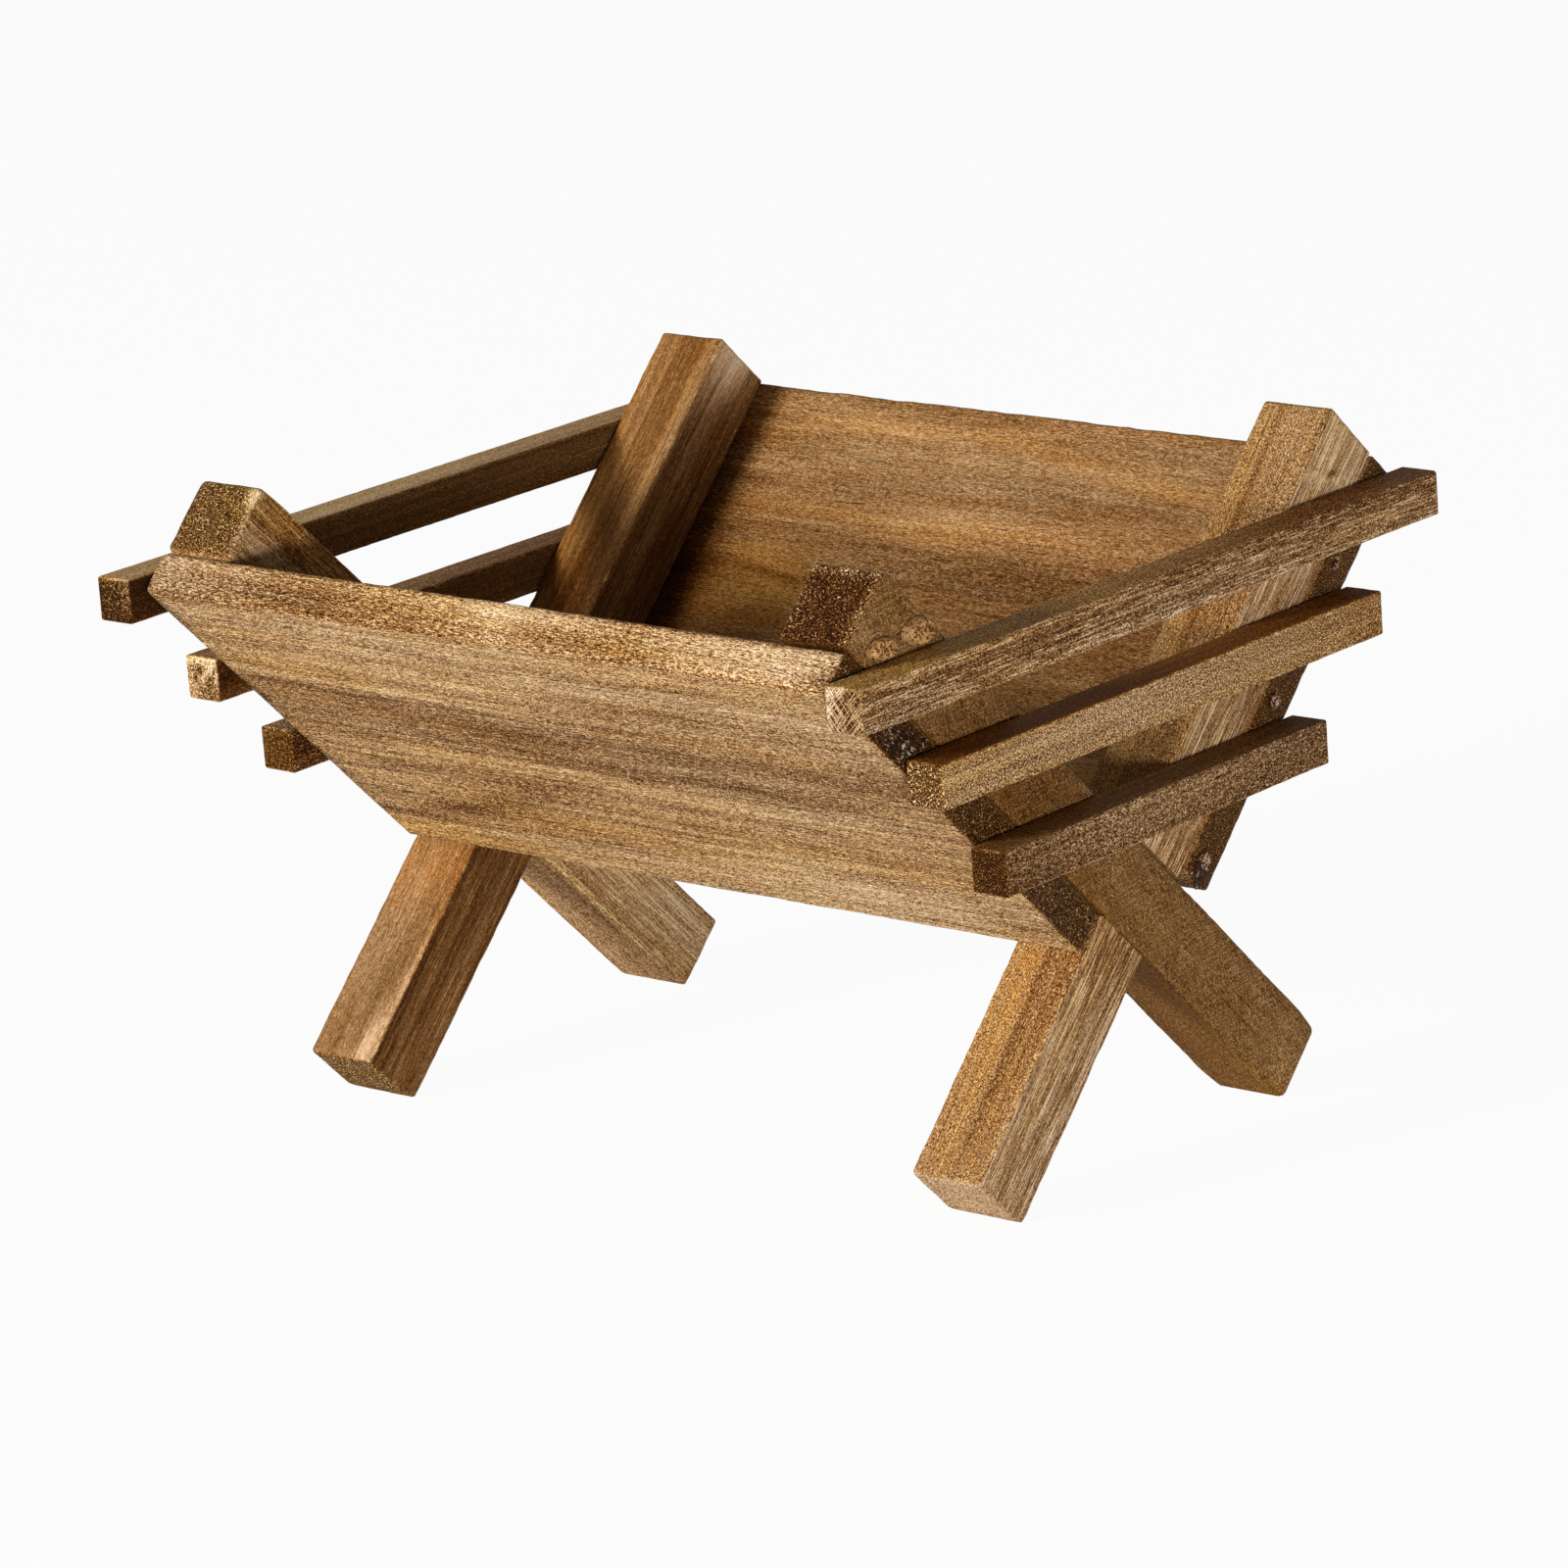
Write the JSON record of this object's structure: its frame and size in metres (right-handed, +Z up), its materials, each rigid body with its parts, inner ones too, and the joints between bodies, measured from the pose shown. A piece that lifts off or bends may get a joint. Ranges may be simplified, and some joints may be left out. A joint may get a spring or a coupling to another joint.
{
  "type": "manger ornament",
  "caption": "Small wooden manger: leaning boards form an open V-shaped trough on cross-lapped X legs, with slats closing each end.",
  "frame": {"origin": "on the ground at the middle of the footprint", "axes": "+X along the boards to the right, +Y to the back, +Z up"},
  "size_m": [0.1324, 0.126, 0.0921],
  "materials": {
    "leg_wood": "brown-stained softwood stick, matt, with saw lines and dark end grain",
    "board_wood": "brown-stained flat-sawn softwood board, matt, with soft growth bands",
    "slat_wood": "brown-stained sawn softwood strip, matt, with saw lines",
    "tan_glue": "dried glue that took little stain, satin",
    "dark_glue": "dried glue darkened by the stain, glossy"
  },
  "bodies": {
    "root": {"leg_front_left": "leg_wood", "leg_front_right": "leg_wood", "leg_back_left": "leg_wood", "leg_back_right": "leg_wood", "front_board": "board_wood", "back_board": "board_wood", "slat_right_top": "slat_wood", "slat_right_middle": "slat_wood", "slat_right_bottom": "slat_wood", "slat_left_top": "slat_wood", "slat_left_middle": "slat_wood", "slat_left_bottom": "slat_wood", "glue_bead_leg_front": "tan_glue", "glue_bead_leg_back": "tan_glue", "glue_dab_front_board_large": "dark_glue", "glue_dab_front_board_small": "dark_glue", "glue_dab_back_board_top": "dark_glue", "glue_dab_back_board_middle": "dark_glue", "glue_dab_back_board_bottom": "dark_glue"}
  },
  "joints": []
}
